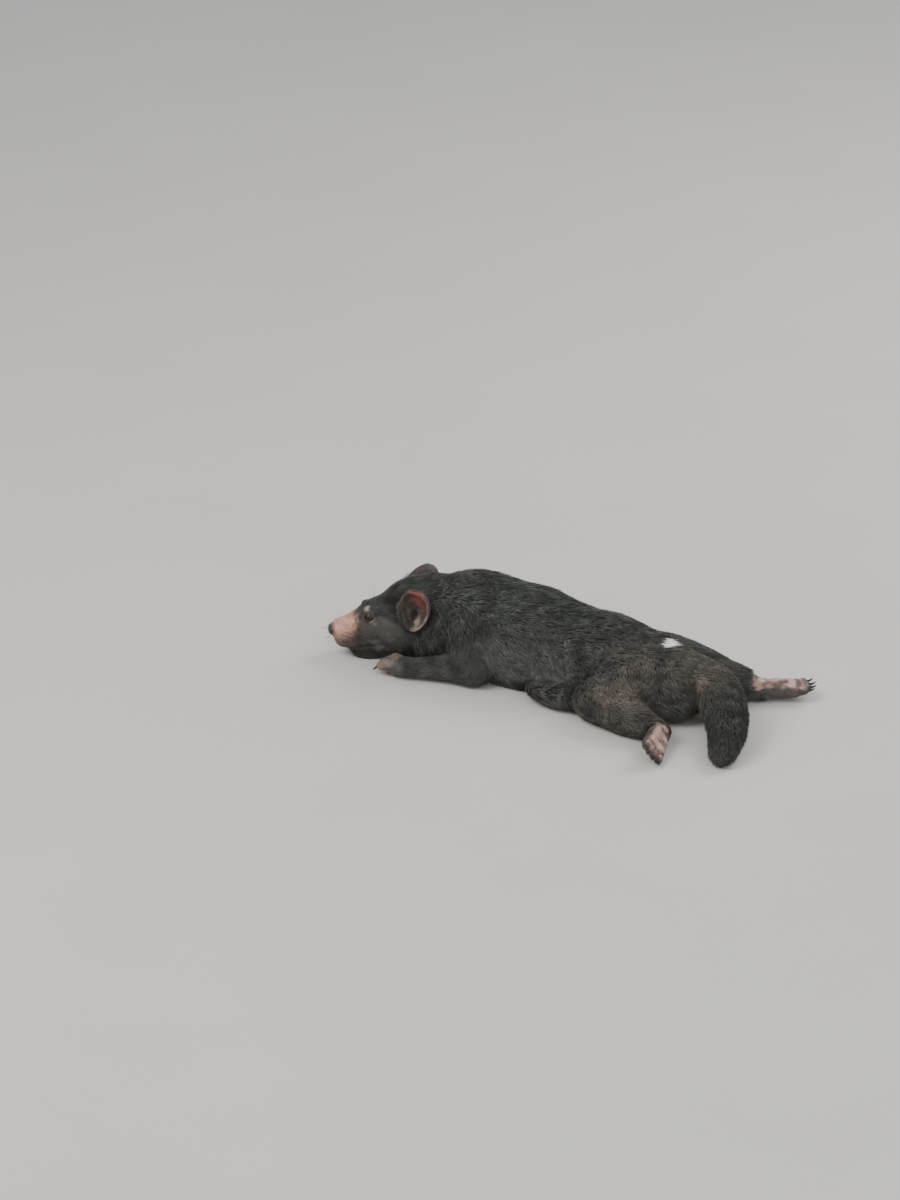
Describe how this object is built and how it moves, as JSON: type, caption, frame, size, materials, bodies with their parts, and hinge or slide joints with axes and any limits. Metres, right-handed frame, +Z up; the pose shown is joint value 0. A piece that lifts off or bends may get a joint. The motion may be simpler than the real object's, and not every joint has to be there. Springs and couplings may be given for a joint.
{
  "type": "tasmanian devil model",
  "caption": "Life-size still model of a tasmanian devil lying stretched on its belly, chin down, head turned left, one hind leg folded and one stretched back.",
  "frame": {"origin": "middle of the box's underside, on the floor that the animal lies on", "axes": "+X from the head to the rump and the stretched hind foot, -Y the animal's left side, +Z up"},
  "size_m": [0.7722, 0.3618, 0.1526],
  "materials": {
    "coat": "short coarse charcoal-black fur with a brown tint on the hindquarters and a small white patch on the rump",
    "bare_skin": "bare pink-brown skin of paws, soles and snout, creased, half matt",
    "ear_skin": "thin nearly bare ear, dark red-brown outside of the cup, red inside where light comes through",
    "nose": "dark moist nose pad",
    "eye": "wet glossy dark brown eye",
    "claw": "horn-coloured claws, dark at the root"
  },
  "bodies": {
    "root": {"abdomen": "coat", "chest": "coat", "claw_fore_left_1": "claw", "claw_fore_left_2": "claw", "claw_fore_left_3": "claw", "claw_fore_left_4": "claw", "claw_fore_left_5": "claw", "claw_fore_right_1": "claw", "claw_fore_right_2": "claw", "claw_fore_right_3": "claw", "claw_fore_right_4": "claw", "claw_fore_right_5": "claw", "claw_hind_left_1": "claw", "claw_hind_left_2": "claw", "claw_hind_left_3": "claw", "claw_hind_left_4": "claw", "claw_hind_right_1": "claw", "claw_hind_right_2": "claw", "claw_hind_right_3": "claw", "claw_hind_right_4": "claw", "ear_left": "ear_skin", "ear_right": "ear_skin", "eye_left": "eye", "eye_right": "eye", "forearm_left": "coat", "forearm_right": "coat", "forepaw_left": "bare_skin", "forepaw_right": "bare_skin", "head": "coat", "hind_foot_left": "bare_skin", "hind_foot_right": "bare_skin", "neck": "coat", "nose": "nose", "rump": "coat", "shank_left": "coat", "shank_right": "coat", "tail_base": "coat", "tail_brush": "coat", "thigh_left": "coat", "thigh_right": "coat", "upper_arm_left": "coat", "upper_arm_right": "coat"}
  },
  "joints": []
}
